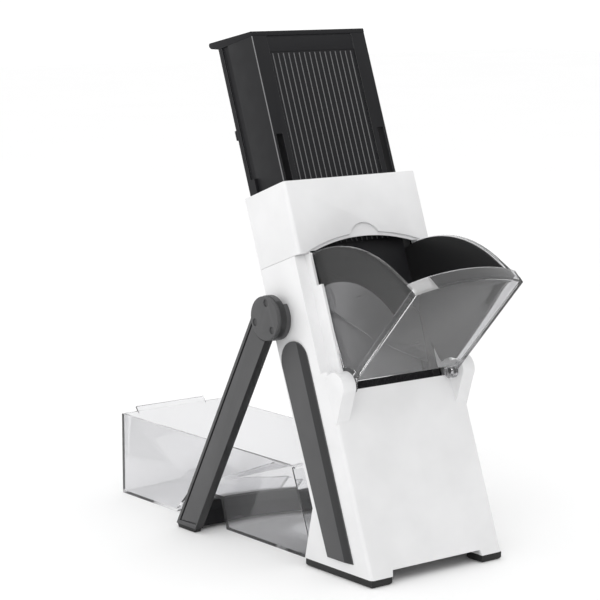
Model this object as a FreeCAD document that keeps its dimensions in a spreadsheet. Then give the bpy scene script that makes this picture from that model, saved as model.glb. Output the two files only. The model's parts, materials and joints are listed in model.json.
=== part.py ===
import FreeCAD, Part
import math
import os

import Sketcher

# Pull-down mandoline slicer: a leaning tower with a sprung blade carriage, a tilting feed
# chute, a folding rear stand and a loose container. Millimetres, +Z up, front towards -Y.

os.makedirs("parts", exist_ok=True)
doc = FreeCAD.newDocument("mandoline")

# ------------------------------------------------------------------ driving dimensions
DIMENSIONS = {
    # tower: distances are "along" the leaning axis, "deep" behind the front face
    "lean": 20.4,              # tower axis from the vertical, degrees
    "shift": -152.213,         # Y of the tower's front bottom edge in the row frame
    "pad_height": 5.6,
    "tower_width": 125.0,
    "tower_deep": 49.3,
    "tower_long": 292.0,
    "wall": 2.6,
    "seam": 238.0,             # joint between the lower and the upper housing
    "kink_along": 60.0,        # the rear edge flares out to the heel below this
    "heel_deep": 71.2,
    "corner_radius": 3.0,
    "sill": 135.5,             # bottom edge of the feed opening
    "arch_top": 249.0,
    "arch_drop": 12.5,         # arch height lost at the side walls
    "opening_half": 50.9,      # half width of the feed opening
    "cove_deep": 6.0,          # side wall set back beside the chute
    "cove_low": 151.0,
    "rib_proud": 5.5,          # rib beside the chute, in front of the housing face
    "rib_thick": 2.2,
    "rib_top": 213.5,
    "play": 0.35,              # gap between pieces that slide past each other
    "fit": 0.06,               # radial clearance of a pin in its bore
    # carriage
    "carriage_width": 107.0,
    "carriage_front": 10.8,
    "carriage_deep": 53.8,
    "carriage_low": 130.0,
    "carriage_top": 404.6,
    "plate_thick": 4.0,
    "cheek": 2.5,              # carriage side wall
    "groove_front": 41.7,
    "groove_rear": 49.5,
    "groove_floor": 52.1,
    "web_inner": 50.7,
    "window_low": 143.5,
    "slot_inner": 44.9,
    "slot_top": 330.0,
    "window_half": 40.5,
    "blade_rise": 179.5,       # blade edge height on the centre line
    "blade_slope": 0.526,      # edge drop per mm towards +X
    "blade_high": 36.0,
    "blade_thick": 0.8,
    "rib_pitch": 4.9,
    "handle_rise": 0.184,      # slope of the handle's top face
    "handle_under": 0.0865,    # slope of its underside
    "handle_reach": 64.6,
    # springs, rods, thickness setting
    "rod_x": 30.0,
    "rod_deep": 24.0,
    "rod_radius": 2.4,
    "base_low": 17.5,
    "base_thick": 3.0,
    "spring_radius": 4.3,
    "spring_wire": 1.1,
    "knob_along": 152.0,
    "knob_radius": 9.0,
    # chute
    "chute_open": 63.0,        # ramp from the housing face, degrees
    "pivot_deep": -6.0,
    "pivot_along": 137.5,
    "ramp_low": 9.5,           # start of the ramp, from the pivot
    "ramp_arch": 143.0,        # radius of the ramp's curved end
    "ramp_thick": 2.6,
    "ramp_half": 50.0,
    "lip_high": 8.8,
    "lip_corner": 8.0,         # lip height at the ramp's corners
    "fan_radius": 100.4,
    "fan_knee": 75.0,          # the side walls' edge runs straight beyond this angle
    "guard_radius": 99.8,
    "guard_back": 18.0,        # how far the guards reach behind the housing face, degrees
    "guard_lift": 3.8,         # gap between the ramp and the guards
    "guard_inner": 45.6,
    "guard_outer": 47.4,
    # stand
    "stand_angle": 29.3,       # legs from the vertical, degrees
    "hinge_deep": 38.5,
    "hinge_along": 200.4,
    "leg_inner": 68.6,
    "leg_outer": 76.0,
    "leg_width": 22.0,
    "leg_clear": 3.0,          # end of the leg above the table
    "leg_back": 3.0,           # the leg's centre line runs this far behind the hinge
    "eye_radius": 16.6,
    "leg_pin": 4.0,
    "bar_front": 201.5,
    "bar_thick": 12.0,
    "bar_low": 2.0,
    "bar_high": 20.2,
    # container
    "box_half": 50.5,
    "box_front": 81.0,
    "box_lean": 27.0,          # how far the front wall leans back at its rim
    "box_rear": 336.0,
    "box_high": 66.7,
    "box_wall": 2.0,
    "notch_front": 190.0,
    "notch_rear": 257.8,
    "notch_high": 23.0,
}

sheet = doc.addObject("Spreadsheet::Sheet", "Dims")
for row, (alias, number) in enumerate(DIMENSIONS.items(), start=1):
    sheet.set(f"A{row}", alias)
    sheet.set(f"B{row}", str(number))
    sheet.setAlias(f"B{row}", alias)
doc.recompute()


class Size:
    """A number together with the sheet expression that gives it."""

    def __init__(self, number, text):
        self.number = number
        self.text = text

    def _join(self, other, sign, number, swap=False):
        other = other if isinstance(other, Size) else Size(other, repr(float(other)))
        left, right = (other, self) if swap else (self, other)
        return Size(number(left.number, right.number), f"({left.text} {sign} {right.text})")

    def __add__(self, other):
        return self._join(other, "+", lambda a, b: a + b)

    def __radd__(self, other):
        return self._join(other, "+", lambda a, b: a + b, True)

    def __sub__(self, other):
        return self._join(other, "-", lambda a, b: a - b)

    def __rsub__(self, other):
        return self._join(other, "-", lambda a, b: a - b, True)

    def __mul__(self, other):
        return self._join(other, "*", lambda a, b: a * b)

    def __rmul__(self, other):
        return self._join(other, "*", lambda a, b: a * b, True)

    def __truediv__(self, other):
        return self._join(other, "/", lambda a, b: a / b)

    def __neg__(self):
        return Size(0.0, "0") - self


def size(number):
    return number if isinstance(number, Size) else Size(float(number), repr(float(number)))


def sine(angle):
    return Size(math.sin(math.radians(angle.number)), f"sin({angle.text})")


def cosine(angle):
    return Size(math.cos(math.radians(angle.number)), f"cos({angle.text})")


def tangent(angle):
    return Size(math.tan(math.radians(angle.number)), f"tan({angle.text})")


D = {alias: Size(number, f"Dims.{alias}") for alias, number in DIMENSIONS.items()}
half = D["tower_width"] / 2
inside = half - D["wall"]
slope = tangent(D["lean"])

# ------------------------------------------------------------------ frames
# Each frame is (Y, Z, turn about X): the tower frame has Y deep and Z along the tower.
TOWER = (D["shift"], D["pad_height"], -D["lean"])
FLOOR = (D["shift"], size(0), size(0))


def on_tower(deep, along, turn):
    """A frame whose origin lies in the tower and which is turned about X."""
    y = D["shift"] + along * sine(D["lean"]) + deep * cosine(D["lean"])
    z = D["pad_height"] + along * cosine(D["lean"]) - deep * sine(D["lean"])
    return (y, z, turn)


CHUTE = on_tower(D["pivot_deep"], D["pivot_along"], D["chute_open"] - D["lean"])
STAND = on_tower(D["hinge_deep"], D["hinge_along"], D["stand_angle"])


def place(item, frame):
    """Give an object its frame, bound to the sheet."""
    y, z, turn = frame
    axis = FreeCAD.Vector(1 if turn.number >= 0 else -1, 0, 0)
    turn = turn if turn.number >= 0 else -turn
    item.Placement = FreeCAD.Placement(
        FreeCAD.Vector(0, y.number, z.number), FreeCAD.Rotation(axis, turn.number))
    item.setExpression("Placement.Base.y", y.text)
    item.setExpression("Placement.Base.z", z.text)
    item.setExpression("Placement.Rotation.Angle", turn.text)


# ------------------------------------------------------------------ sketch and feature helpers
NODES = []


def new_body(name, frame):
    body = doc.addObject("PartDesign::Body", name)
    body.Label = name
    body.AllowCompound = True
    place(body, frame)
    NODES.append(body)
    return body


def new_sketch(body, plane, offset):
    """A sketch on one of the body's own origin planes, moved along that plane's normal."""
    sketch = body.newObject("Sketcher::SketchObject", f"{body.Name}_outline")
    origin = [item for item in body.Origin.OriginFeatures if item.Role == f"{plane}_Plane"][0]
    sketch.AttachmentSupport = [(origin, "")]
    sketch.MapMode = "FlatFace"
    sketch.AttachmentOffset.Base = FreeCAD.Vector(0, 0, offset.number)
    sketch.setExpression("AttachmentOffset.Base.z", offset.text)
    return sketch


def pin_point(sketch, edge, end, x, y):
    """Hold one sketch point at a place given by two sizes."""
    for kind, amount in (("DistanceX", size(x)), ("DistanceY", size(y))):
        index = sketch.addConstraint(
            Sketcher.Constraint(kind, -1, 1, edge, end, amount.number))
        sketch.setExpression(f"Constraints[{index}]", amount.text)


def polygon(*corners):
    def draw(sketch):
        points = [FreeCAD.Vector(size(x).number, size(y).number, 0) for x, y in corners]
        count = len(points)
        for i in range(count):
            sketch.addGeometry(Part.LineSegment(points[i], points[(i + 1) % count]))
        for i in range(count):
            sketch.addConstraint(Sketcher.Constraint("Coincident", i, 2, (i + 1) % count, 1))
        for i, (x, y) in enumerate(corners):
            pin_point(sketch, i, 1, x, y)
    return draw


def box(x0, y0, x1, y1):
    return polygon((x0, y0), (x1, y0), (x1, y1), (x0, y1))


def circle(x, y, radius):
    def draw(sketch):
        centre = FreeCAD.Vector(size(x).number, size(y).number, 0)
        amount = size(radius)
        edge = sketch.addGeometry(
            Part.Circle(centre, FreeCAD.Vector(0, 0, 1), amount.number))
        pin_point(sketch, edge, 3, x, y)
        index = sketch.addConstraint(Sketcher.Constraint("Radius", edge, amount.number))
        sketch.setExpression(f"Constraints[{index}]", amount.text)
    return draw


def arched(half_width, low, corner, radius):
    """An upright outline with straight sides and a bulging top."""
    def draw(sketch):
        reach = size(half_width)
        top = size(corner)
        amount = size(radius)
        centre = top.number - math.sqrt(amount.number ** 2 - reach.number ** 2)
        right = math.atan2(top.number - centre, reach.number)
        whole = Part.Circle(
            FreeCAD.Vector(0, centre, 0), FreeCAD.Vector(0, 0, 1), amount.number)
        arc = sketch.addGeometry(Part.ArcOfCircle(whole, right, math.pi - right))
        corners = ((-reach, top), (-reach, size(low)), (reach, size(low)), (reach, top))
        points = [FreeCAD.Vector(x.number, y.number, 0) for x, y in corners]
        for first, second in zip(points, points[1:]):
            sketch.addGeometry(Part.LineSegment(first, second))
        for one, one_end, other, other_end in ((0, 2, 1, 1), (1, 2, 2, 1), (2, 2, 3, 1),
                                               (3, 2, 0, 1)):
            sketch.addConstraint(
                Sketcher.Constraint("Coincident", one, one_end, other, other_end))
        for edge, end, place_at in ((1, 1, 0), (2, 1, 1), (3, 1, 2), (3, 2, 3)):
            pin_point(sketch, edge, end, *corners[place_at])
        index = sketch.addConstraint(Sketcher.Constraint("Radius", arc, amount.number))
        sketch.setExpression(f"Constraints[{index}]", amount.text)
    return draw


def fan(inner, outer, start, stop):
    """A ring sector about the origin; angles in degrees from the sketch's X axis."""
    def draw(sketch):
        origin = FreeCAD.Vector(0, 0, 0)
        axis = FreeCAD.Vector(0, 0, 1)
        first = math.radians(size(start).number)
        last = math.radians(size(stop).number)

        def at(radius, angle):
            reach = size(radius).number
            return FreeCAD.Vector(reach * math.cos(angle), reach * math.sin(angle), 0)

        for radius in (inner, outer):
            whole = Part.Circle(origin, axis, size(radius).number)
            sketch.addGeometry(Part.ArcOfCircle(whole, first, last))
        sketch.addGeometry(Part.LineSegment(at(inner, first), at(outer, first)))
        sketch.addGeometry(Part.LineSegment(at(outer, last), at(inner, last)))
        for one, one_end, other, other_end in (
                (0, 1, 2, 1), (2, 2, 1, 1), (1, 2, 3, 1), (3, 2, 0, 2),
                (0, 3, -1, 1), (1, 3, -1, 1)):
            sketch.addConstraint(
                Sketcher.Constraint("Coincident", one, one_end, other, other_end))
        for edge, radius in ((0, inner), (1, outer)):
            amount = size(radius)
            index = sketch.addConstraint(Sketcher.Constraint("Radius", edge, amount.number))
            sketch.setExpression(f"Constraints[{index}]", amount.text)
        for angle, end_line, end in ((start, 2, 2), (stop, 3, 1)):
            reach = size(outer) * cosine(size(angle))
            index = sketch.addConstraint(
                Sketcher.Constraint("DistanceX", -1, 1, end_line, end, reach.number))
            sketch.setExpression(f"Constraints[{index}]", reach.text)
        for end_line in (2, 3):
            sketch.addConstraint(Sketcher.Constraint("PointOnObject", -1, 1, end_line))
    return draw


PLANE_SIGN = {"XY": 1, "YZ": 1, "XZ": -1}


def extrude(body, plane, draw, start, stop, cut=False):
    """Pad or pocket an outline between two positions on the plane's own axis."""
    start = size(start)
    stop = size(stop)
    sign = PLANE_SIGN[plane]
    sketch = new_sketch(body, plane, start if sign > 0 else -start)
    draw(sketch)
    kind = "Pocket" if cut else "Pad"
    feature = body.newObject(f"PartDesign::{kind}", f"{body.Name}_{kind.lower()}")
    feature.Profile = sketch
    length = stop - start
    feature.Length = length.number
    feature.setExpression("Length", length.text)
    feature.Reversed = (sign > 0) == cut
    return feature


def both_sides(body, plane, draw, near, far, cut=False):
    """The same outline between two positions on the right, and again on the left."""
    extrude(body, plane, draw, near, far, cut)
    extrude(body, plane, draw, -size(far), -size(near), cut)


def span(side, near, far):
    """Positions along X of a piece on the right (side 1) or the left (side -1)."""
    return (size(near), size(far)) if side > 0 else (-size(far), -size(near))


def round_edges(body, test, radius, kind="Fillet"):
    """Round or bevel the edges of the body's last feature that pass a test."""
    doc.recompute()
    base = body.Tip
    names = [f"Edge{i}" for i, edge in enumerate(base.Shape.Edges, start=1) if test(edge)]
    if not names:
        raise RuntimeError(f"{body.Label}: no edge to round")
    feature = body.newObject(f"PartDesign::{kind}", f"{body.Name}_{kind.lower()}")
    feature.Base = (base, names)
    amount = size(radius)
    prop = "Radius" if kind == "Fillet" else "Size"
    setattr(feature, prop, amount.number)
    feature.setExpression(prop, amount.text)
    return feature


def runs_along(edge, index):
    """True for a straight edge parallel to axis 0, 1 or 2 of the body's frame."""
    if edge.Curve.TypeId != "Part::GeomLine":
        return False
    direction = edge.Curve.Direction
    return abs(abs(direction[index]) - 1) < 1e-6


def middle(edge):
    return edge.CenterOfMass


SIDES = (("right", 1), ("left", -1))

# ------------------------------------------------------------------ housing
pivot_deep = D["pivot_deep"]
pivot_along = D["pivot_along"]
PAST = 1.0              # how far a cut overshoots the face that it opens
FAR_BACK = 90.0         # beyond the rear of everything on the tower
FAR_UP = 430.0          # beyond the top of everything on the tower
FAR_ASIDE = 90.0        # beyond the side of everything
SEAM_GAP = 0.2
ROOF = 3.5
EAR_INNER = 51.0
EAR_RADIUS = 10.5
EAR_WEB = ((1.5, 112.0), (-13.5, 131.5), (-14.0, 142.0), (-6.0, 148.0), (1.5, 148.0))
PIN_RADIUS = 2.5
PIN_END = 61.0
TOE_CUT = ((-44.0, -6.0), (44.0, -6.0), (42.0, 4.6), (-42.0, 4.6))
FLANGE_THICK = 3.2
FLANGE_INNER = 43.0
BOSS_X = 51.0
BOSS_PLACES = (12.0, 31.0)
BOSS_RADIUS = 4.0
BASE_SCREW = 1.4
BASE_SCREW_DEEP = 4.0
BASE_HOLE = 1.7
BASE_HEAD = 2.8
BASE_HEAD_HIGH = 1.8
BASE_REAR = 38.0
RAIL_OUTER = 55.6
RAIL_SPAN = (22.0, 305.0)
RAIL_FEET = ((26.0, 60.0), (252.0, 286.0))
BRACE_SPAN = (24.0, 37.0)
BRACE_DEPTHS = (43.0, 48.0)
CHUTE_SLOT_DROP = 8.0
CHUTE_SLOT_TOP = 239.4
STEP_RISE = 2.4         # width of the shallow step round the arch
STEP_DEEP = 1.5
NOTCH_PLACE = (1.2, 241.0)
NOTCH_DEEP = 1.9
NOTCH_RADIUS = 15.5
TRIM_PROUD = 2.1
TRIM_OUTLINE = ((16.0, 14.0), (42.0, 23.5), (46.0, 165.0), (16.0, 165.0))
TRIM_END = (31.0, 165.0)
TRIM_RADIUS = 15.0
TRIM_BEVEL = (15.0, 26.0)
PAD_INSET = 0.3
PAD_FRONT = 0.4
PAD_REAR = 75.4
PAD_STRIP = 50.0        # the pad is narrower than this behind its toe
PAD_TOE = (17.0, 24.0)
PAD_BEVEL = 1.2


def floor_at(deep):
    """Position along the tower of the level floor line at a depth."""
    return slope * deep


def make_lower_housing():
    body = new_body("lower_housing", TOWER)
    top = D["seam"] - SEAM_GAP
    deep = D["tower_deep"]
    side_outline = polygon(
        (0, 0), (D["heel_deep"], floor_at(D["heel_deep"])), (deep, D["kink_along"]),
        (deep, top), (0, top))
    extrude(body, "YZ", side_outline, -half, half)
    round_edges(
        body, lambda edge: runs_along(edge, 2) and abs(middle(edge).y) < 0.1,
        D["corner_radius"])
    extrude(body, "YZ", box(D["wall"], -FAR_BACK, FAR_BACK, FAR_UP), -inside, inside, cut=True)
    opening = D["opening_half"]
    extrude(body, "XZ", box(-opening, D["sill"], opening, FAR_UP), -PAST, D["wall"] + PAST,
            cut=True)
    cove = box(-PAST, D["cove_low"], D["cove_deep"], top + PAST)
    extrude(body, "YZ", cove, -half - PAST, half + PAST, cut=True)
    # the cove beside the chute: a set-back panel and the shelf under it
    shelf = D["cove_low"] - D["wall"]
    for side in (1, -1):
        near, far = span(side, opening, inside)
        extrude(body, "XZ", box(near, shelf, far, top), D["cove_deep"],
                D["cove_deep"] + D["wall"])
        extrude(body, "XZ", box(near, shelf, far, D["cove_low"]), 1, D["cove_deep"] + 1)
        near, far = span(side, opening, opening + D["rib_thick"])
        extrude(body, "XZ", box(near, shelf - 2, far, D["rib_top"]), -D["rib_proud"],
                D["cove_deep"] + 1)
        extrude(body, "XZ", box(near, D["rib_top"] - 1, far, top), 0, D["cove_deep"] + 1)
    extrude(body, "XZ", polygon(*TOE_CUT), -PAST, D["wall"] + PAST, cut=True)
    toe = D["wall"] - 0.5
    heel = D["heel_deep"] - 3
    flange = polygon(
        (toe, floor_at(toe)), (heel, floor_at(heel)), (heel, floor_at(heel) + FLANGE_THICK),
        (toe, floor_at(toe) + FLANGE_THICK))
    both_sides(body, "YZ", flange, FLANGE_INNER, inside)
    both_sides(body, "YZ", polygon(*EAR_WEB), EAR_INNER, half)
    both_sides(body, "YZ", circle(pivot_deep, pivot_along + 1, EAR_RADIUS), EAR_INNER, half)
    both_sides(body, "YZ", circle(pivot_deep, pivot_along, PIN_RADIUS), EAR_INNER - PAST,
               PIN_END, cut=True)
    for x in (-BOSS_X, BOSS_X):
        for deep_at in BOSS_PLACES:
            low = D["base_low"]
            extrude(body, "XY", circle(x, deep_at, BOSS_RADIUS),
                    floor_at(deep_at) + FLANGE_THICK - 1, low)
            extrude(body, "XY", circle(x, deep_at, BASE_SCREW), low - BASE_SCREW_DEEP,
                    low + PAST, cut=True)


def make_upper_housing():
    body = new_body("upper_housing", TOWER)
    top = D["tower_long"]
    deep = D["tower_deep"]
    extrude(body, "YZ", box(0, D["seam"], deep, top), -half, half)
    round_edges(
        body, lambda edge: runs_along(edge, 2) and abs(middle(edge).y) < 0.1,
        D["corner_radius"])
    extrude(body, "YZ", box(D["wall"], 0, FAR_BACK, top - ROOF), -inside, inside, cut=True)
    gap = D["carriage_width"] / 2 + D["play"]
    under_roof = top - ROOF - PAST
    extrude(body, "XY", box(-gap, D["carriage_front"] - D["play"], gap, FAR_BACK), under_roof,
            top + PAST, cut=True)
    rails = box(-RAIL_OUTER, D["groove_front"] + D["play"], RAIL_OUTER, FAR_BACK)
    extrude(body, "XY", rails, under_roof, top + PAST, cut=True)
    opening = D["opening_half"]
    for side in (1, -1):
        # the ceiling of the cove, and a slot that the chute's side wall swings through
        near, far = span(side, opening, inside)
        extrude(body, "XZ", box(near, D["seam"], far, D["seam"] + D["wall"]), 1,
                D["cove_deep"] + D["wall"])
        near, far = span(side, D["guard_inner"], opening)
        extrude(body, "XZ", box(near, D["seam"] - CHUTE_SLOT_DROP, far, CHUTE_SLOT_TOP), -PAST,
                D["wall"] + PAST, cut=True)
    # arched top of the feed opening, its shallow surrounding step and the finger notch
    arch_radius = (inside * inside + D["arch_drop"] * D["arch_drop"]) / (D["arch_drop"] * 2)
    for drop, depth_stop in ((STEP_RISE, D["wall"] + PAST), (0, STEP_DEEP)):
        arch = circle(0, D["arch_top"] - drop - arch_radius, arch_radius)
        extrude(body, "XZ", arch, -PAST, depth_stop, cut=True)
    extrude(body, "XZ", circle(*NOTCH_PLACE, NOTCH_RADIUS), -PAST, NOTCH_DEEP, cut=True)


def make_base():
    body = new_body("base_plate", TOWER)
    low = D["base_low"]
    high = low + D["base_thick"]
    rod = D["rod_deep"]
    extrude(body, "XY", box(-inside, D["wall"], inside, BASE_REAR), low, high)
    for x in (-D["rod_x"], D["rod_x"]):
        extrude(body, "XY", circle(x, rod, D["rod_radius"]), low - PAST, high + PAST, cut=True)
    for x in (-BOSS_X, BOSS_X):
        for deep_at in BOSS_PLACES:
            hole = circle(x, deep_at, BASE_HOLE)
            extrude(body, "XY", hole, low - PAST, high + PAST, cut=True)

    screws = new_body("base_screws", TOWER)
    for x in (-BOSS_X, BOSS_X):
        for deep_at in BOSS_PLACES:
            shank = circle(x, deep_at, BASE_SCREW)
            extrude(screws, "XY", shank, low - BASE_SCREW_DEEP, high + 0.1)
            extrude(screws, "XY", circle(x, deep_at, BASE_HEAD), high, high + BASE_HEAD_HIGH)


def make_brace_and_rails():
    body = new_body("rear_brace", TOWER)
    edge = D["groove_floor"] + 0.2
    brace_low, brace_high = BRACE_SPAN
    extrude(body, "XZ", box(-edge, brace_low, edge, brace_high), *BRACE_DEPTHS)
    for name, side in SIDES:
        rail = new_body(f"guide_rail_{name}", TOWER)
        front = D["groove_front"] + D["play"]
        rear = D["groove_rear"] - D["play"]
        near, far = span(side, edge, RAIL_OUTER)
        extrude(rail, "XY", box(near, front, far, rear), *RAIL_SPAN)
        foot_near, foot_far = span(side, RAIL_OUTER, inside)
        for low, high in RAIL_FEET:
            extrude(rail, "XY", box(foot_near, front, foot_far, rear), low, high)


def make_trims():
    for name, side in SIDES:
        body = new_body(f"side_trim_{name}", TOWER)
        proud = half + TRIM_PROUD
        near, far = span(side, half, proud)
        extrude(body, "YZ", polygon(*TRIM_OUTLINE), near, far)
        extrude(body, "YZ", circle(*TRIM_END, TRIM_RADIUS), near, far)
        ahead, behind = TRIM_BEVEL
        bevel = polygon(
            (side * (half + 0.5), ahead), (side * (proud + 0.5), behind),
            (side * (proud + 0.5), ahead))
        extrude(body, "XY", bevel, 0, FAR_UP, cut=True)


def make_foot_pads():
    for name, side in SIDES:
        body = new_body(f"foot_pad_{name}", FLOOR)
        outer = side * (half - PAD_INSET)
        strip = side * PAD_STRIP
        toe = side * FLANGE_INNER
        toe_rear, strip_front = PAD_TOE
        outline = polygon(
            (outer, PAD_FRONT), (outer, PAD_REAR), (strip, PAD_REAR), (strip, strip_front),
            (toe, toe_rear), (toe, PAD_FRONT))
        extrude(body, "XY", outline, 0, D["pad_height"])
        round_edges(body, lambda edge: middle(edge).z < 0.01, PAD_BEVEL, "Chamfer")


# ------------------------------------------------------------------ carriage
front = D["carriage_front"]
slot_outer = D["carriage_width"] / 2 - D["cheek"]
SILL_HIGH = 6.0         # the bar across the bottom of the carriage
SILL_REAR = 29.0
BRIDGE_DEPTHS = (18.0, 20.8)
BRIDGE_TOP = 157.0
WEB_THICK = 2.0
WEB_REAR = 25.0
CORNER_ROUND = 0.8
ROD_PLAY = 0.35
POST_X = 18.0
POST_RADIUS = 2.0
POST_PLAY = 0.15
POST_END = 28.0
SCREW_RADIUS = 3.0
SCREW_SHANK = 1.3
BLADE_SCREWS = ((-34.0, 216.0), (34.0, 180.0), (-34.0, 228.0), (34.0, 192.0))
BLADE_SINK = 0.25       # the blade's face lies this far behind the carriage's
BLADE_BEVEL = 0.55
PLATE_HALF = 40.0       # the feed plate, its seat and its ribs
PLATE_SPAN = (245.0, 392.0)
PLATE_DEPTHS = (0.75, 1.8)
PLATE_GAP = 0.2
RIBS = 16
RIB_ROOT = 0.9
RIB_CREST = 0.55
RIB_DEPTHS = (0.05, 1.0)
STEP_ABOVE_PLATE = 0.7
LOCK_SLOT = (-52.9, 338.6, -51.3, 353.8)
LOCK_TAB = (-53.3, 338.0, -51.0, 345.4)
LOCK_NECK = (-52.6, 339.0, -51.6, 344.4)


def blade_edge(x):
    """Height of the cutting edge at a place across the carriage."""
    return D["blade_rise"] - D["blade_slope"] * x


def make_carriage():
    body = new_body("carriage_frame", TOWER)
    wide = D["carriage_width"] / 2
    low = D["carriage_low"]
    plate_rear = front + D["plate_thick"]
    extrude(body, "XZ", box(-wide, low, wide, D["carriage_top"] + 6), front, plate_rear)
    for side in (1, -1):
        section = polygon(
            (side * wide, front + 1), (side * wide, D["groove_front"]),
            (side * D["groove_floor"], D["groove_front"]),
            (side * D["groove_floor"], D["groove_rear"]), (side * wide, D["groove_rear"]),
            (side * wide, D["carriage_deep"]), (side * D["web_inner"], D["carriage_deep"]),
            (side * D["web_inner"], D["groove_front"] - D["cheek"]),
            (side * slot_outer, D["groove_front"] - D["cheek"]),
            (side * slot_outer, front + 1))
        extrude(body, "XY", section, low, D["carriage_top"] + 6)
    sill_top = low + SILL_HIGH
    extrude(body, "XY", box(-slot_outer, front + 1, slot_outer, SILL_REAR), low, sill_top)
    web = D["slot_inner"] - WEB_THICK
    for side in (1, -1):
        near, far = span(side, web, D["slot_inner"])
        extrude(body, "XY", box(near, plate_rear - 1, far, WEB_REAR), low, D["slot_top"] + 4)
    bridge_front, bridge_rear = BRIDGE_DEPTHS
    bridge = box(-D["slot_inner"], bridge_front, D["slot_inner"], bridge_rear)
    extrude(body, "XY", bridge, sill_top - 1, BRIDGE_TOP)
    under = D["handle_under"]
    extrude(body, "YZ", polygon(
        (0, D["carriage_top"] - under * front),
        (FAR_BACK, D["carriage_top"] + under * (FAR_BACK - front)),
        (FAR_BACK, FAR_UP), (0, FAR_UP)), -wide - PAST, wide + PAST, cut=True)
    reach = D["window_half"]
    extrude(body, "XZ", polygon(
        (-reach, D["window_low"]), (reach, D["window_low"]), (reach, blade_edge(reach) + 12),
        (-reach, blade_edge(-reach) + 12)), front - PAST, plate_rear + PAST, cut=True)
    slot_low = sill_top + 1
    for side in (1, -1):
        near, far = span(side, D["slot_inner"], slot_outer)
        extrude(body, "XZ", box(near, slot_low, far, D["slot_top"]), front - PAST,
                plate_rear + PAST, cut=True)
    seat = D["slot_inner"] - 0.4
    blade_rear = front + BLADE_SINK + D["blade_thick"]
    extrude(body, "XZ", polygon(
        (-seat, D["window_low"] + 2.5), (seat, D["window_low"] + 2.5),
        (seat, blade_edge(seat) + D["blade_high"] + 0.2),
        (-seat, blade_edge(-seat) + D["blade_high"] + 0.2)), front - PAST, blade_rear + 0.05,
        cut=True)
    # the seat of the feed plate, and a shallower step above it up to the handle
    plate_low, plate_high = PLATE_SPAN
    beside = PLATE_HALF + PLATE_GAP
    extrude(body, "XZ", box(-beside, plate_low - PLATE_GAP, beside, plate_high + PLATE_GAP),
            front - PAST, front + PLATE_DEPTHS[1], cut=True)
    extrude(body, "XZ", box(-beside, plate_high, beside, FAR_UP), front - PAST,
            front + STEP_ABOVE_PLATE, cut=True)
    for x in (-D["rod_x"], D["rod_x"]):
        extrude(body, "XY", circle(x, D["rod_deep"], D["rod_radius"] + ROD_PLAY), low - PAST,
                sill_top + PAST, cut=True)
    through = (bridge_front - PAST, bridge_rear + PAST)
    for x in (-POST_X, POST_X):
        post = circle(x, D["knob_along"], POST_RADIUS + POST_PLAY)
        extrude(body, "XZ", post, *through, cut=True)
    screw = circle(0, D["knob_along"], SCREW_RADIUS + D["fit"])
    extrude(body, "XZ", screw, *through, cut=True)
    extrude(body, "XZ", box(*LOCK_SLOT), D["groove_rear"] + 1.3, D["carriage_deep"] + PAST,
            cut=True)
    for x, along in BLADE_SCREWS:
        extrude(body, "XZ", circle(x, along, SCREW_SHANK + D["fit"]), front,
                plate_rear + PAST, cut=True)
    # the front plate's two long outer corners
    round_edges(
        body, lambda edge: runs_along(edge, 2) and abs(middle(edge).y - front.number) < 0.01
        and abs(abs(middle(edge).x) - wide.number) < 0.01, CORNER_ROUND)


def make_blade():
    body = new_body("blade", TOWER)
    edge = D["slot_inner"] - 0.6
    face = front + BLADE_SINK
    back = face + D["blade_thick"]
    extrude(body, "XZ", polygon(
        (-edge, blade_edge(-edge)), (edge, blade_edge(edge)),
        (edge, blade_edge(edge) + D["blade_high"]),
        (-edge, blade_edge(-edge) + D["blade_high"])), face, back)
    for x, along in BLADE_SCREWS:
        extrude(body, "XZ", circle(x, along, SCREW_SHANK + D["fit"]), face + 0.35, back + 1,
                cut=True)

    def is_cutting_edge(item):
        low_side = middle(item).z < D["blade_rise"].number + 5
        return low_side and middle(item).y > back.number - 0.01 and abs(middle(item).x) < 5

    round_edges(body, is_cutting_edge, BLADE_BEVEL, "Chamfer")
    screws = new_body("blade_screws", TOWER)
    plate_rear = front + D["plate_thick"]
    for x, along in BLADE_SCREWS:
        extrude(screws, "XZ", circle(x, along, SCREW_SHANK), face + 0.45, plate_rear + 0.1)
        extrude(screws, "XZ", circle(x, along, SCREW_SHANK * 2), plate_rear, plate_rear + 1.5)


def make_feed_plate():
    body = new_body("feed_plate", TOWER)
    low, high = PLATE_SPAN
    face, back = PLATE_DEPTHS
    extrude(body, "XZ", box(-PLATE_HALF, low, PLATE_HALF, high), front + face, front + back)
    crest, root = RIB_DEPTHS
    for index in range(RIBS):
        centre = D["rib_pitch"] * (index + 0.5 - RIBS / 2)
        rib = polygon(
            (centre - RIB_ROOT, front + root), (centre - RIB_CREST, front + crest),
            (centre + RIB_CREST, front + crest), (centre + RIB_ROOT, front + root))
        extrude(body, "XY", rib, low, high - 1)


def make_handle():
    body = new_body("handle_top", TOWER)
    wide = D["carriage_width"] / 2
    under = D["handle_under"]
    rise = D["handle_rise"]
    low = D["carriage_top"]
    reach = D["handle_reach"]
    deep = D["carriage_deep"]
    extrude(body, "YZ", polygon(
        (front, low), (deep, low + under * (deep - front)), (reach - 1.5, low + 7.2),
        (reach, low + 9), (reach, low + HANDLE_FRONT_HIGH + rise * (reach - front) - 1.4),
        (front, low + HANDLE_FRONT_HIGH)), -wide, wide)
    round_edges(
        body, lambda edge: runs_along(edge, 0) and middle(edge).y > reach.number - 2,
        HANDLE_ROUND)


HANDLE_FRONT_HIGH = 3.6
HANDLE_ROUND = 1.6
SETTING_DEEP = 3.4      # the thickness plate at its middle setting
SETTING_THICK = 1.4
KNOB_DEPTHS = (30.5, 39.0)
KNOB_FLUTES = 12
FLUTE_REACH = 9.6
FLUTE_RADIUS = 1.4


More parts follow.
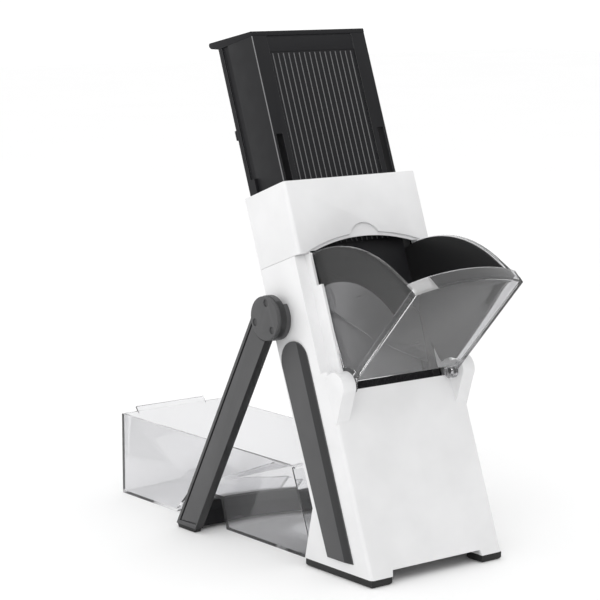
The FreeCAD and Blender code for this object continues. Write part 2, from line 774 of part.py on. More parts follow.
def make_thickness_setting():
    plate = new_body("thickness_plate", TOWER)
    reach = D["window_half"] - 0.4
    low = D["window_low"] + 0.4
    face = front + SETTING_DEEP
    back = face + SETTING_THICK
    extrude(plate, "XZ", polygon(
        (-reach, low), (reach, low), (reach, blade_edge(reach) + 2),
        (-reach, blade_edge(-reach) + 2)), face, back)
    for x in (-POST_X, POST_X):
        extrude(plate, "XZ", circle(x, D["knob_along"], POST_RADIUS), back - 0.5, POST_END)

    knob = new_body("thickness_knob", TOWER)
    along = D["knob_along"]
    knob_front, knob_rear = KNOB_DEPTHS
    extrude(knob, "XZ", circle(0, along, SCREW_RADIUS), back + 2.5, knob_front + 1.5)
    extrude(knob, "XZ", circle(0, along, D["knob_radius"]), knob_front, knob_rear)
    for step in range(KNOB_FLUTES):
        angle = math.radians(step * 360 / KNOB_FLUTES)
        x = FLUTE_REACH * math.sin(angle)
        z = along + FLUTE_REACH * math.cos(angle)
        extrude(knob, "XZ", circle(x, z, FLUTE_RADIUS), knob_front - PAST, knob_rear + PAST,
                cut=True)


def make_lock():
    body = new_body("lock_slider", TOWER)
    rear = D["carriage_deep"]
    extrude(body, "XZ", box(*LOCK_TAB), rear + 0.3, rear + 2.4)
    extrude(body, "XZ", box(*LOCK_NECK), D["groove_rear"] + 1.6, rear + 0.5)


# ------------------------------------------------------------------ rods and springs
ROD_TOP = 140.0
SPRING_TURNS = 13
SPRING_GAP = 0.4


def make_rods_and_springs():
    low = D["base_low"]
    top = low + D["base_thick"]
    for name, side in SIDES:
        x = side * D["rod_x"]
        rod = new_body(f"guide_rod_{name}", TOWER)
        extrude(rod, "XY", circle(x, D["rod_deep"], D["rod_radius"]), low, ROD_TOP)
        bottom = top + D["spring_wire"]
        height = D["carriage_low"] - bottom - D["spring_wire"] - SPRING_GAP
        helix = doc.addObject("Part::Helix", f"spring_path_{name}")
        helix.LocalCoord = 0
        helix.setExpression("Pitch", (height / SPRING_TURNS).text)
        helix.setExpression("Height", height.text)
        helix.setExpression("Radius", D["spring_radius"].text)
        wire = doc.addObject("Part::Circle", f"spring_wire_{name}")
        wire.setExpression("Radius", (D["spring_wire"] / 2).text)
        wire.Placement = FreeCAD.Placement(
            FreeCAD.Vector(D["spring_radius"].number, 0, 0),
            FreeCAD.Rotation(FreeCAD.Vector(1, 0, 0), 90))
        coil = doc.addObject("Part::Sweep", f"return_spring_{name}")
        coil.Label = f"return_spring_{name}"
        coil.Sections = [wire]
        coil.Spine = (helix, [])
        coil.Solid = True
        coil.Frenet = True
        y, z, turn = on_tower(D["rod_deep"], bottom, -D["lean"])
        place(coil, (y, z, turn))
        coil.setExpression("Placement.Base.x", size(x).text)
        NODES.append(coil)


# ------------------------------------------------------------------ chute
RIM = 2.4
RIM_PROUD = 0.4
KNUCKLE_RADIUS = 5.4
KNUCKLE_INNER = 45.6
ARM_END = -5.0
LIP_TAPER = 34.0        # the lip is full height up to here from the middle
LIP_THICK = 2.2
LIP_START = 20.0
WALL_START = 14.0       # radius at which the side walls begin
BAND_START = 75.0       # the left guard is only a band along the edge
FAR_OUT = 110.0         # beyond the end of the ramp


def knee_point(radius):
    """Where a side panel's round edge turns straight, in the chute's own frame."""
    return radius * cosine(D["fan_knee"]), radius * sine(D["fan_knee"])


def straight_end(radius):
    """Where that straight edge meets the ramp."""
    return radius / sine(D["fan_knee"])


def side_panel(body, inner, outer, start, near, far):
    """A ring sector whose outer edge leaves the arc and runs straight down to the ramp."""
    extrude(body, "YZ", fan(inner, outer, start, 89.99), near, far)
    corner = polygon(
        (0, outer - RIM), knee_point(outer - RIM), knee_point(outer), (0, straight_end(outer)))
    extrude(body, "YZ", corner, near, far)


def make_chute():
    """In the chute's own frame: Z runs up the ramp, Y points into the chute."""
    body = new_body("chute_window", CHUTE)
    ramp = D["ramp_half"]
    thick = D["ramp_thick"]
    arch = D["ramp_arch"]
    high = D["lip_high"]
    wall_inner = D["guard_outer"]
    outer = D["fan_radius"]
    corner = straight_end(outer)
    # the ramp with its curved end, then the lip that stands along that end
    extrude(body, "XZ", arched(ramp, D["ramp_low"], corner, arch), -thick, 0)
    extrude(body, "XZ", arched(ramp, LIP_START, corner, arch), -0.1, high)
    hollow = arched(wall_inner, LIP_START - PAST, corner - 1, arch - LIP_THICK)
    extrude(body, "XZ", hollow, 0, high + PAST, cut=True)
    for side in (1, -1):
        taper = polygon(
            (side * LIP_TAPER, high), (side * (ramp + 1), D["lip_corner"]),
            (side * (ramp + 1), high + PAST), (side * LIP_TAPER, high + PAST))
        extrude(body, "XY", taper, D["ramp_low"], FAR_OUT + LIP_START, cut=True)
    rear_angle = 90 - D["chute_open"] - 4
    for side in (1, -1):
        near, far = span(side, wall_inner, ramp)
        side_panel(body, WALL_START, outer, rear_angle, near, far)
        near, far = span(side, wall_inner, ramp + RIM_PROUD)
        side_panel(body, outer - RIM, outer, rear_angle, near, far)
    arm = box(-thick, ARM_END, RIM, corner)
    both_sides(body, "YZ", arm, ramp - 1, ramp + RIM_PROUD)
    both_sides(body, "YZ", box(-thick, ARM_END, RIM, LIP_START), wall_inner, ramp)
    both_sides(body, "YZ", circle(0, 0, KNUCKLE_RADIUS), KNUCKLE_INNER, ramp + RIM_PROUD)
    both_sides(body, "YZ", circle(0, 0, PIN_RADIUS + D["fit"]), wall_inner - PAST, PIN_END,
               cut=True)


def make_guards():
    for name, side in SIDES:
        body = new_body(f"feed_guard_{name}", CHUTE)
        near, far = span(side, D["guard_inner"], D["guard_outer"])
        inner = WALL_START if side > 0 else BAND_START
        rear_angle = 90 - D["chute_open"] - D["guard_back"]
        side_panel(body, inner, D["guard_radius"], rear_angle, near, far)
        extrude(body, "YZ", box(-PAST, -PAST, D["guard_lift"], FAR_OUT), near, far, cut=True)
        pin = new_body(f"chute_pin_{name}", CHUTE)
        near, far = span(side, D["guard_outer"] + 0.2, PIN_END)
        extrude(pin, "YZ", circle(0, 0, PIN_RADIUS), near, far)


# ------------------------------------------------------------------ stand
CAP_FACE = 76.8
EYE_FACE = 73.6
NOTCH_REACH = 11.8
NOTCH_SIZE = 2.7
NOTCH_TURNS = (70, 190, 310)
HUB_RADIUS = 16.5
HUB_BACK = 3.0          # the hub's middle lies this far behind the hinge
HUB_FLAT = 7.0
LEG_START = 8.0         # the leg's bar begins this far below the hinge
LEG_GROOVE = 1.4
FOOT_HALF = 12.0
BAR_BEVEL = 6.0


def leg_end(across):
    """Lowest point of the leg at an offset across it, in the leg's own frame."""
    height = STAND[1] - D["leg_clear"]
    return -(height + across * sine(D["stand_angle"])) / cosine(D["stand_angle"])


def make_stand():
    ahead = D["leg_back"] - D["leg_width"] / 2
    behind = D["leg_back"] + D["leg_width"] / 2
    for name, side in SIDES:
        hub = new_body(f"hinge_hub_{name}", on_tower(
            D["hinge_deep"], D["hinge_along"], -D["lean"]))
        near, far = span(side, half, D["leg_inner"] - 0.3)
        extrude(hub, "YZ", circle(HUB_BACK, 0, HUB_RADIUS), near, far)
        extrude(hub, "YZ", box(-FAR_BACK, HUB_FLAT, FAR_BACK, FAR_BACK), near, far, cut=True)
        near, far = span(side, half - 1, D["leg_inner"])
        extrude(hub, "YZ", circle(0, 0, D["leg_pin"]), near, far, cut=True)

        pin = new_body(f"hinge_pin_{name}", STAND)
        near, far = span(side, half, EYE_FACE - 0.3)
        extrude(pin, "YZ", circle(0, 0, D["leg_pin"]), near, far)

        leg = new_body(f"leg_arm_{name}", STAND)
        near, far = span(side, D["leg_inner"], EYE_FACE)
        extrude(leg, "YZ", circle(0, 0, D["eye_radius"]), near, far)
        near, far = span(side, D["leg_inner"], D["leg_outer"])
        extrude(leg, "YZ", polygon(
            (ahead, -LEG_START), (ahead, leg_end(ahead)), (behind, leg_end(behind)),
            (behind, -LEG_START)), near, far)
        near, far = span(side, EYE_FACE, FAR_ASIDE)
        extrude(leg, "YZ", circle(0, 0, D["eye_radius"] + 0.3), near, far, cut=True)
        near, far = span(side, D["leg_outer"] - LEG_GROOVE, FAR_ASIDE)
        # a groove down the rear edge and across the bottom of the outer face
        extrude(leg, "YZ", polygon(
            (behind - 4.2, -LEG_START), (behind - 4.2, leg_end(behind) + 7),
            (ahead + 1, leg_end(ahead) + 5.6), (ahead + 1, leg_end(ahead) + 3.8),
            (behind - 2.5, leg_end(behind) + 5), (behind - 2.5, -LEG_START)), near, far,
            cut=True)
        near, far = span(side, D["leg_inner"] - PAST, FAR_ASIDE)
        extrude(leg, "YZ", circle(0, 0, D["leg_pin"] + D["fit"]), near, far, cut=True)

        cap = new_body(f"hinge_cap_{name}", STAND)
        near, far = span(side, EYE_FACE, CAP_FACE)
        extrude(cap, "YZ", circle(0, 0, D["eye_radius"] - 0.4), near, far)
        near, far = span(side, CAP_FACE - 1.2, CAP_FACE + PAST)
        for turn in NOTCH_TURNS:
            angle = math.radians(turn)
            across = NOTCH_REACH * math.cos(angle)
            along = NOTCH_REACH * math.sin(angle)
            extrude(cap, "YZ", circle(across, along, NOTCH_SIZE), near, far, cut=True)

        foot = new_body(f"leg_foot_{name}", FLOOR)
        middle_y = (STAND[0] - D["shift"] + D["leg_back"] / cosine(D["stand_angle"])
                    + (STAND[1] - D["leg_clear"]) * tangent(D["stand_angle"]))
        near, far = span(side, D["leg_inner"] + 0.8, D["leg_outer"] - 0.6)
        extrude(foot, "YZ", polygon(
            (middle_y - FOOT_HALF + 1, 0), (middle_y + FOOT_HALF - 1.5, 0),
            (middle_y + FOOT_HALF, D["leg_clear"]),
            (middle_y - FOOT_HALF, D["leg_clear"])), near, far)

    bar = new_body("leg_crossbar", FLOOR)
    rear = D["bar_front"] + D["bar_thick"]
    extrude(bar, "YZ", polygon(
        (D["bar_front"], D["bar_low"]), (rear, D["bar_low"]), (rear, D["bar_high"]),
        (D["bar_front"] + BAR_BEVEL, D["bar_high"]),
        (D["bar_front"], D["bar_high"] - BAR_BEVEL)),
        -D["leg_inner"], D["leg_inner"])


# ------------------------------------------------------------------ container
TUNNEL_FRONT_LEAN = 7.0     # how far the tunnel's front and rear walls lean together
TUNNEL_REAR_LEAN = 22.0
REAR_LIP = ((0.0, -3.0), (4.5, 2.2), (3.4, 3.4))
REAR_LIP_HALF = 34.0
RIM_WIDE = 5.0
RIM_THICK = 1.8


def make_container():
    body = new_body("container", FLOOR)
    wall = D["box_wall"]
    high = D["box_high"]
    lean_in = D["box_lean"]
    outer = D["box_half"]
    extrude(body, "YZ", polygon(
        (D["box_front"], 0), (D["box_rear"], 0), (D["box_rear"], high),
        (D["box_front"] + lean_in, high)), -outer, outer)
    extrude(body, "YZ", polygon(
        (D["box_front"] + wall * 1.6, wall), (D["box_rear"] - wall, wall),
        (D["box_rear"] - wall, high + 1), (D["box_front"] + lean_in + wall, high + 1)),
        -outer + wall, outer - wall, cut=True)
    notch_front = D["notch_front"]
    notch_rear = D["notch_rear"]
    top = D["notch_high"]
    top_front = notch_front + TUNNEL_FRONT_LEAN
    top_rear = notch_rear - TUNNEL_REAR_LEAN
    extrude(body, "YZ", polygon(
        (notch_front - wall * 1.1, wall - 0.5), (top_front - 1, top + wall),
        (top_rear + 1, top + wall), (notch_rear + wall * 1.4, wall - 0.5)),
        -outer + 1, outer - 1)
    extrude(body, "YZ", polygon(
        (notch_front, -PAST), (notch_front, 0), (top_front, top), (top_rear, top),
        (notch_rear, 0), (notch_rear, -PAST)), -outer - PAST, outer + PAST, cut=True)
    rear_lip = [(D["box_rear"] + back, high + up) for back, up in REAR_LIP]
    rear_lip.append((D["box_rear"] - wall, high + REAR_LIP[0][1]))
    extrude(body, "YZ", polygon(*rear_lip), -REAR_LIP_HALF, REAR_LIP_HALF)
    rim = D["box_front"] + lean_in
    extrude(body, "YZ", box(rim - RIM_WIDE, high - RIM_THICK, rim + 1, high), -outer, outer)


make_lower_housing()
make_upper_housing()
make_base()
make_brace_and_rails()
make_trims()
make_foot_pads()
make_carriage()
make_blade()
make_feed_plate()
make_handle()
make_thickness_setting()
make_lock()
make_rods_and_springs()
make_chute()
make_guards()
make_stand()
make_container()
doc.recompute()

# ------------------------------------------------------------------ checks and files
for item in doc.Objects:
    if "Invalid" in item.State or "Error" in item.State:
        raise RuntimeError(f"{item.Label}: {item.State}")
for node in NODES:
    shape = node.Shape
    if shape.isNull() or not shape.isValid() or not shape.Solids:
        raise RuntimeError(f"{node.Label}: bad shape")
    shape.exportStep(f"parts/{node.Label}.step")
print(len(NODES), "nodes written")
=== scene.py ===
"""Looks of the pull-down mandoline slicer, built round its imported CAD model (metres, +Z up)."""
import json
import math

import bmesh
import bpy
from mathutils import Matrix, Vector


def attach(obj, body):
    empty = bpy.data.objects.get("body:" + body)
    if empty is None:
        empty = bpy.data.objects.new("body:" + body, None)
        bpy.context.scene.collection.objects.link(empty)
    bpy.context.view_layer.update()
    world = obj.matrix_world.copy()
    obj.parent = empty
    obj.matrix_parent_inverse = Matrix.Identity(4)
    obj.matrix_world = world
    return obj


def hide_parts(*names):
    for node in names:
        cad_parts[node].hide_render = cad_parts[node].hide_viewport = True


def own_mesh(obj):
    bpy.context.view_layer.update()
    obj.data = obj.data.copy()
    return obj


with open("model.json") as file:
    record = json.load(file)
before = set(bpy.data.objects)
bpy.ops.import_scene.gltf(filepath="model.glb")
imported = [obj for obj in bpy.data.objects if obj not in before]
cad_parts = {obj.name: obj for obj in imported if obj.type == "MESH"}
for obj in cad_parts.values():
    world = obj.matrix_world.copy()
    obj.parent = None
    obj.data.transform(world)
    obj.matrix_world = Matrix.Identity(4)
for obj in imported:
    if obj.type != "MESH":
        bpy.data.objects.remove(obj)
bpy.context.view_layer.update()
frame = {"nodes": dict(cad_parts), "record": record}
NODES = frame["nodes"]
BODY_OF = {node: body for body, members in frame["record"]["behaviour"]["bodies"].items()
           for node in members}
SLOT_OF = {part["node"]: part["material_slot"] for part in frame["record"]["subparts"]}
MM = 0.001
SHIFT = -152.213        # Y of the tower's front bottom edge, mm
PAD_HEIGHT = 5.6
LEAN = math.radians(20.4)
PIVOT = (0, -6, 137.5)              # the chute's pivot: across, behind, along
RAMP_TURN = math.radians(42.6)      # the chute's ramp from the vertical


def tower(x, deep, along):
    """A point given across, behind and along the leaning tower, in mm."""
    return Vector((x, SHIFT + along * math.sin(LEAN) + deep * math.cos(LEAN),
                   PAD_HEIGHT + along * math.cos(LEAN) - deep * math.sin(LEAN))) * MM


# ------------------------------------------------------------------ materials
NOISE_LOW = 0.3         # noise stays between these two levels nearly everywhere
NOISE_HIGH = 0.7


class Graph:
    """A short way to write shader nodes."""

    def __init__(self, name):
        self.material = bpy.data.materials.new(name)
        self.material.use_nodes = True
        self.tree = self.material.node_tree
        self.shader = self.tree.nodes["Principled BSDF"]

    def add(self, kind, **values):
        node = self.tree.nodes.new(kind)
        for key, value in values.items():
            if key in node.inputs:
                node.inputs[key].default_value = value
            else:
                setattr(node, key, value)
        return node

    def link(self, source, target):
        self.tree.links.new(source, target)

    def position(self):
        return self.add("ShaderNodeTexCoord").outputs["Object"]

    def noise(self, scale, detail=3.0, stretch=None):
        """Fine noise in object space; stretch squeezes it along the axes."""
        place = self.position()
        if stretch:
            mapping = self.add("ShaderNodeMapping", Scale=stretch)
            self.link(place, mapping.inputs["Vector"])
            place = mapping.outputs["Vector"]
        noise = self.add("ShaderNodeTexNoise", Scale=scale, Detail=detail)
        self.link(place, noise.inputs["Vector"])
        return noise.outputs["Fac"]

    def remap(self, value, low, high):
        node = self.add("ShaderNodeMapRange")
        node.inputs["From Min"].default_value = NOISE_LOW
        node.inputs["From Max"].default_value = NOISE_HIGH
        node.inputs["To Min"].default_value = low
        node.inputs["To Max"].default_value = high
        self.link(value, node.inputs["Value"])
        return node.outputs["Result"]

    def tint(self, value, dark, light):
        ramp = self.add("ShaderNodeValToRGB")
        ramp.color_ramp.elements[0].position = NOISE_LOW
        ramp.color_ramp.elements[1].position = NOISE_HIGH
        ramp.color_ramp.elements[0].color = (*dark, 1)
        ramp.color_ramp.elements[1].color = (*light, 1)
        self.link(value, ramp.inputs["Fac"])
        return ramp.outputs["Color"]

    def bump(self, height, strength, distance):
        node = self.add("ShaderNodeBump", Strength=strength, Distance=distance)
        self.link(height, node.inputs["Height"])
        self.link(node.outputs["Normal"], self.shader.inputs["Normal"])


def shade(colour, amount):
    return tuple(channel * amount for channel in colour)


CLOUD_SCALE = 28.0
GLOSS_SCALE = 90.0
PLASTIC_IOR = 1.5


def plastic(name, colour, rough, grain, grain_depth, coat=0.0, gleam=0.5):
    """Moulded plastic: slight tone and gloss variation over a fine moulded texture."""
    g = Graph(name)
    cloud = g.noise(CLOUD_SCALE)
    g.shader.inputs["Specular IOR Level"].default_value = gleam
    g.link(g.tint(cloud, shade(colour, 0.96), shade(colour, 1.04)), g.shader.inputs["Base Color"])
    g.link(g.remap(g.noise(GLOSS_SCALE), rough - 0.04, rough + 0.04),
           g.shader.inputs["Roughness"])
    g.bump(g.noise(grain, 2.0), 0.25, grain_depth)
    g.shader.inputs["IOR"].default_value = PLASTIC_IOR
    g.shader.inputs["Coat Weight"].default_value = coat
    g.shader.inputs["Coat Roughness"].default_value = 0.12
    return g.material


SCRATCH_SCALE = 60.0
SCRATCH_DEPTH = 0.00002


def steel(name, colour, rough, along):
    """Ground steel: fine scratches run one way."""
    g = Graph(name)
    streak = g.noise(SCRATCH_SCALE, 4.0, along)
    g.link(g.tint(streak, shade(colour, 0.9), shade(colour, 1.06)), g.shader.inputs["Base Color"])
    g.link(g.remap(streak, rough - 0.07, rough + 0.07), g.shader.inputs["Roughness"])
    g.shader.inputs["Metallic"].default_value = 1.0
    g.bump(streak, 0.2, SCRATCH_DEPTH)
    return g.material


FLOW_SCALE = 14.0
HAZE_SCALE = 9.0
FLOW_DEPTH = 0.0002
LIGHT_KEPT = (0.94, 0.94, 0.94, 1)      # what a face lets through on the way to a light


def clear(name, colour, rough, bend, through):
    """Clear plastic with faint haze and flow marks; light passes it on the way to a lamp."""
    g = Graph(name)
    flow = g.noise(FLOW_SCALE)
    g.link(g.tint(flow, shade(colour, 0.98), shade(colour, 1.01)), g.shader.inputs["Base Color"])
    g.link(g.remap(g.noise(HAZE_SCALE), rough, rough + 0.01), g.shader.inputs["Roughness"])
    g.shader.inputs["Transmission Weight"].default_value = through
    g.shader.inputs["IOR"].default_value = bend
    g.bump(flow, 0.04, FLOW_DEPTH)
    ray = g.add("ShaderNodeLightPath")
    lit = g.add("ShaderNodeBsdfTransparent", Color=LIGHT_KEPT)
    mix = g.add("ShaderNodeMixShader")
    g.link(ray.outputs["Is Shadow Ray"], mix.inputs["Fac"])
    g.link(g.shader.outputs["BSDF"], mix.inputs[1])
    g.link(lit.outputs["BSDF"], mix.inputs[2])
    g.link(mix.outputs["Shader"], g.tree.nodes["Material Output"].inputs["Surface"])
    return g.material


MATERIALS = {
    "white_shell": plastic("white_shell", (0.78, 0.78, 0.785), 0.34, 2600.0, 0.00001, 0.12),
    "grey_plastic": plastic("grey_plastic", (0.078, 0.078, 0.08), 0.5, 3200.0, 0.00003,
                            gleam=0.35),
    "black_plastic": plastic("black_plastic", (0.0145, 0.0145, 0.016), 0.48, 3000.0, 0.00003,
                             gleam=0.15),
    "guard_plastic": plastic("guard_plastic", (0.012, 0.012, 0.0125), 0.42, 900.0, 0.00001,
                             gleam=0.3),
    "clear_chute": clear("clear_chute", (0.74, 0.74, 0.75), 0.02, 1.36, 0.972),
    "clear_box": clear("clear_box", (0.86, 0.86, 0.87), 0.01, 1.28, 0.975),
    "blade_steel": steel("blade_steel", (0.28, 0.28, 0.285), 0.34, (1, 12, 12)),
    "plate_steel": steel("plate_steel", (0.30, 0.30, 0.305), 0.4, (12, 1, 1)),
    "steel_screw": steel("steel_screw", (0.5, 0.5, 0.51), 0.3, (1, 1, 8)),
    "rod_steel": steel("rod_steel", (0.62, 0.62, 0.63), 0.16, (6, 6, 1)),
    "spring_steel": steel("spring_steel", (0.42, 0.42, 0.43), 0.28, (1, 1, 6)),
    "rubber_pad": plastic("rubber_pad", (0.012, 0.012, 0.012), 0.7, 1800.0, 0.00006),
}
# painted light on faces a test picks: painted highlights on carriage corners and the lip's left
# corner, painted shade on trim bevels and leg fronts
PAINTED_LIGHT = {
    # lighter, glossier black: a painted highlight on the carriage's front corners
    "black_plastic": plastic("black_painted_highlight", (0.13, 0.13, 0.135), 0.3, 700.0, 0.00006, gleam=0.8),
    # darker grey: painted shade on the side trims' bevels and the legs' forward sides
    "grey_plastic": plastic("grey_painted_shade", (0.026, 0.026, 0.027), 0.4, 3200.0, 0.00003, gleam=0.3),
    # paler, hazier clear plastic: a painted highlight on the lip's left corner
    "clear_chute": clear("chute_glint", (0.9, 0.9, 0.9), 0.08, 1.4, 0.72),
}


# ------------------------------------------------------------------ refined copies of the CAD
WELD = 1e-6
FLAT_ANGLE = math.radians(0.3)      # facets that differ less than this are joined
SHARP_ANGLE = math.radians(32)
BEVEL_ANGLE = math.radians(28)      # edges sharper than this are rounded


def weld_and_simplify(mesh):
    bmesh.ops.remove_doubles(mesh, verts=mesh.verts, dist=WELD)
    bmesh.ops.dissolve_limit(mesh, angle_limit=FLAT_ANGLE, verts=mesh.verts,
                             edges=mesh.edges, delimit={"NORMAL"})


def finish_piece(mesh, name, node_names, body, slot):
    data = bpy.data.meshes.new(name)
    mesh.to_mesh(data)
    mesh.free()
    data.materials.append(MATERIALS[slot])
    # faces picked by a painted-light test get the slot's painted highlight or painted shade
    # material
    if any(polygon.material_index for polygon in data.polygons):
        data.materials.append(PAINTED_LIGHT[slot])
    data.shade_smooth()
    data.set_sharp_from_angle(angle=SHARP_ANGLE)
    piece = bpy.data.objects.new(name, data)
    bpy.context.scene.collection.objects.link(piece)
    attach(piece, body)
    if node_names:
        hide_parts(*node_names)
    return piece


ACROSS = Vector((1, 0, 0))
AHEAD = Vector((0, -math.cos(LEAN), math.sin(LEAN)))


def is_front_corner(face):
    """True on the rounding between the carriage's front and its sides, which gets a painted
    highlight.
    """
    aside = abs(face.normal.dot(ACROSS))
    ahead = face.normal.dot(AHEAD)
    return 0.25 < aside < 0.97 and 0.25 < ahead < 0.97


def is_bevel(face):
    """True on the slope between a side trim's face and its front edge, which gets painted shade.
    """
    aside = abs(face.normal.dot(ACROSS))
    return 0.9 < aside < 0.997 and face.normal.dot(AHEAD) > 0.05


LIP_CORNER_X = -34.0 * MM
LIP_START = 100.0 * MM
LIP_HEIGHTS = (0.2 * MM, 9.5 * MM)
UP_RAMP = Vector((0, -math.sin(RAMP_TURN), math.cos(RAMP_TURN)))
OFF_RAMP = Vector((0, math.cos(RAMP_TURN), math.sin(RAMP_TURN)))


def is_lip_corner(face):
    """True on the lip near its left corner, where the clear moulding catches the light; these
    faces get a painted highlight.
    """
    centre = face.calc_center_median()
    from_pivot = centre - tower(*PIVOT)
    low, high = LIP_HEIGHTS
    return (centre.x < LIP_CORNER_X and from_pivot.dot(UP_RAMP) > LIP_START
            and low < from_pivot.dot(OFF_RAMP) < high)


def is_leg_front(face):
    """True on the forward side of a leg, which faces away from the light; these faces get painted
    shade.
    """
    return face.normal.y < -0.6


# painted light: each test picks the faces that get a painted highlight or painted shade
PAINTED_LIGHT_TEST = {
    "carriage_frame": is_front_corner, "feed_plate": is_front_corner,
    "side_trim_right": is_bevel, "side_trim_left": is_bevel,
    "leg_arm_right": is_leg_front, "leg_arm_left": is_leg_front,
    "chute_window": is_lip_corner,
}


def softened(node, width):
    """A welded copy of a CAD node whose corners are rounded."""
    mesh = bmesh.new()
    mesh.from_mesh(NODES[node].data)
    weld_and_simplify(mesh)
    edges = [edge for edge in mesh.edges if edge.is_manifold
             and edge.calc_face_angle(0) > BEVEL_ANGLE]
    bmesh.ops.bevel(mesh, geom=edges, offset=width, segments=2, profile=0.6,
                    affect="EDGES", clamp_overlap=True, harden_normals=False)
    bmesh.ops.remove_doubles(mesh, verts=mesh.verts, dist=WELD)
    # faces this test picks get the painted highlight or painted shade material
    if node in PAINTED_LIGHT_TEST:
        mesh.normal_update()
        for face in mesh.faces:
            face.material_index = int(PAINTED_LIGHT_TEST[node](face))
    return finish_piece(mesh, f"{node}_skin", [node], BODY_OF[node], SLOT_OF[node])


# width of the rounding on each node's edges, metres
SOFTENED = {
    "lower_housing": 0.0007, "upper_housing": 0.0007, "carriage_frame": 0.0004,
    "handle_top": 0.0006, "leg_crossbar": 0.0005, "container": 0.0004, "chute_window": 0.00035,
    "feed_plate": 0.00012, "lock_slider": 0.0003, "thickness_knob": 0.0003, "base_plate": 0.0004,
}
for side in ("right", "left"):
    SOFTENED.update({
        f"side_trim_{side}": 0.0005, f"leg_arm_{side}": 0.0005, f"hinge_cap_{side}": 0.0004,
        f"hinge_hub_{side}": 0.0004, f"feed_guard_{side}": 0.0003, f"foot_pad_{side}": 0.0004,
        f"leg_foot_{side}": 0.0004})
for node, width in SOFTENED.items():
    softened(node, width)
for node, item in NODES.items():
    item.data.materials.clear()
    item.data.materials.append(MATERIALS[SLOT_OF[node]])


COMB_HALF = 44.0        # half width; depths and heights are in the tower's own mm
COMB_SPAN = (132.0, 143.2)
COMB_BACK = 10.85
COMB_ROOT = 10.7
COMB_CREST = 10.3
COMB_PITCH = 1.6


def comb_bar():
    """The fine upright ridges moulded along the carriage's bottom bar."""
    outline = [(-COMB_HALF, COMB_BACK)]
    for index in range(int(2 * COMB_HALF / COMB_PITCH)):
        start = -COMB_HALF + index * COMB_PITCH
        outline += [(start, COMB_ROOT), (start + 0.3 * COMB_PITCH, COMB_CREST),
                    (start + 0.6 * COMB_PITCH, COMB_CREST), (start + 0.9 * COMB_PITCH, COMB_ROOT)]
    outline += [(COMB_HALF, COMB_ROOT), (COMB_HALF, COMB_BACK)]
    mesh = bmesh.new()
    rings = [[mesh.verts.new(tower(x, deep, along)) for x, deep in outline]
             for along in COMB_SPAN]
    count = len(outline)
    for index in range(count):
        after = (index + 1) % count
        mesh.faces.new((rings[0][index], rings[0][after], rings[1][after], rings[1][index]))
    mesh.faces.new(rings[1])
    mesh.faces.new(reversed(rings[0]))
    bmesh.ops.recalc_face_normals(mesh, faces=mesh.faces)
    finish_piece(mesh, "comb_bar", [], "carriage", "black_plastic")


comb_bar()


def spring(node):
    """A return spring: a copy of the CAD coil with a mesh of its own; on the real slicer it
    shortens as the carriage comes down.
    """
    mesh = bmesh.new()
    mesh.from_mesh(NODES[node].data)
    coil = finish_piece(mesh, f"{node}_coil", [node], BODY_OF[node], SLOT_OF[node])
    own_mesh(coil)


spring("return_spring_right")
spring("return_spring_left")

# ------------------------------------------------------------------ floor, light, camera
FLOOR_HALF = 6
FLOOR_DROP = -0.0002    # keeps the floor's face apart from the feet

floor_data = bpy.data.meshes.new("floor")
floor_mesh = bmesh.new()
bmesh.ops.create_grid(floor_mesh, x_segments=2, y_segments=2, size=FLOOR_HALF)
floor_mesh.to_mesh(floor_data)
floor_mesh.free()
floor = bpy.data.objects.new("floor", floor_data)
floor.location.z = FLOOR_DROP
bpy.context.scene.collection.objects.link(floor)
floor_look = Graph("floor_look")
floor_look.link(
    floor_look.tint(floor_look.noise(3.0), (0.95, 0.95, 0.95), (0.96, 0.96, 0.96)),
    floor_look.shader.inputs["Base Color"])
floor_look.shader.inputs["Roughness"].default_value = 0.9
floor_data.materials.append(floor_look.material)

BRIGHT_SIDE = (-0.45, 0.60, 0.66)       # behind, to the left and above
world = bpy.data.worlds.new("studio")
bpy.context.scene.world = world
world.use_nodes = True
bpy.context.scene.view_settings.view_transform = "Standard"
tree = world.node_tree
tree.nodes["Background"].inputs["Color"].default_value = (1, 1, 1, 1)
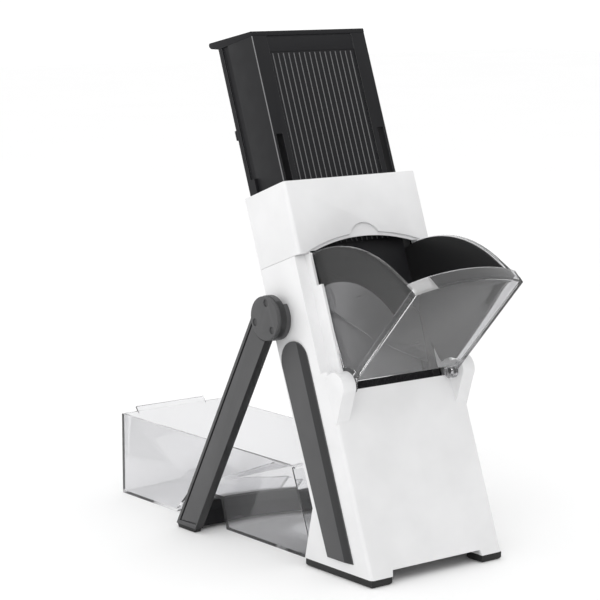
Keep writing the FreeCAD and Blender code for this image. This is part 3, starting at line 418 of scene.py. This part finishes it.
# a studio that is bright behind and to the left, and dimmer in front on the right
where = tree.nodes.new("ShaderNodeTexCoord")
facing = tree.nodes.new("ShaderNodeVectorMath")
facing.operation = "DOT_PRODUCT"
facing.inputs[1].default_value = BRIGHT_SIDE
dim = tree.nodes.new("ShaderNodeMapRange")
dim.interpolation_type = "SMOOTHSTEP"
dim.inputs["From Min"].default_value = -0.60
dim.inputs["From Max"].default_value = 0.05
dim.inputs["To Min"].default_value = 0.50
dim.inputs["To Max"].default_value = 1.08
tree.links.new(where.outputs["Generated"], facing.inputs[0])
tree.links.new(facing.outputs["Value"], dim.inputs["Value"])
tree.links.new(dim.outputs["Result"], tree.nodes["Background"].inputs["Strength"])


def area_light(name, place, target, size, power):
    lamp = bpy.data.lights.new(name, "AREA")
    lamp.shape = "RECTANGLE"
    lamp.size, lamp.size_y = size
    lamp.energy = power
    item = bpy.data.objects.new(name, lamp)
    item.location = place
    item.rotation_euler = (Vector(target) - Vector(place)).to_track_quat("-Z", "Y").to_euler()
    bpy.context.scene.collection.objects.link(item)


LIT_POINT = (0, 0, 0.18)
area_light("key_left", (-1.3, -0.9, 1.6), LIT_POINT, (1.2, 1.2), 6)
area_light("fill_front", (-0.2, -1.6, 1.9), LIT_POINT, (1.4, 1.0), 2.5)

SENSOR = 36
FOCAL_LENGTH = 127.6
NEAR_CLIP = 0.05
AZIMUTH = math.radians(-37.92)
ELEVATION = math.radians(9.30)
TARGET = Vector((-48.45, 100 + SHIFT, 191.58)) * MM
DISTANCE = 1548.7 * MM
back = Vector((math.sin(AZIMUTH) * math.cos(ELEVATION), -math.cos(AZIMUTH) * math.cos(ELEVATION),
               math.sin(ELEVATION)))
lens = bpy.data.cameras.new("camera")
lens.sensor_width = SENSOR
lens.lens = FOCAL_LENGTH
lens.clip_start = NEAR_CLIP
camera = bpy.data.objects.new("camera", lens)
camera.location = TARGET + back * DISTANCE
camera.rotation_euler = (-back).to_track_quat("-Z", "Y").to_euler()
bpy.context.scene.collection.objects.link(camera)
bpy.context.scene.camera = camera
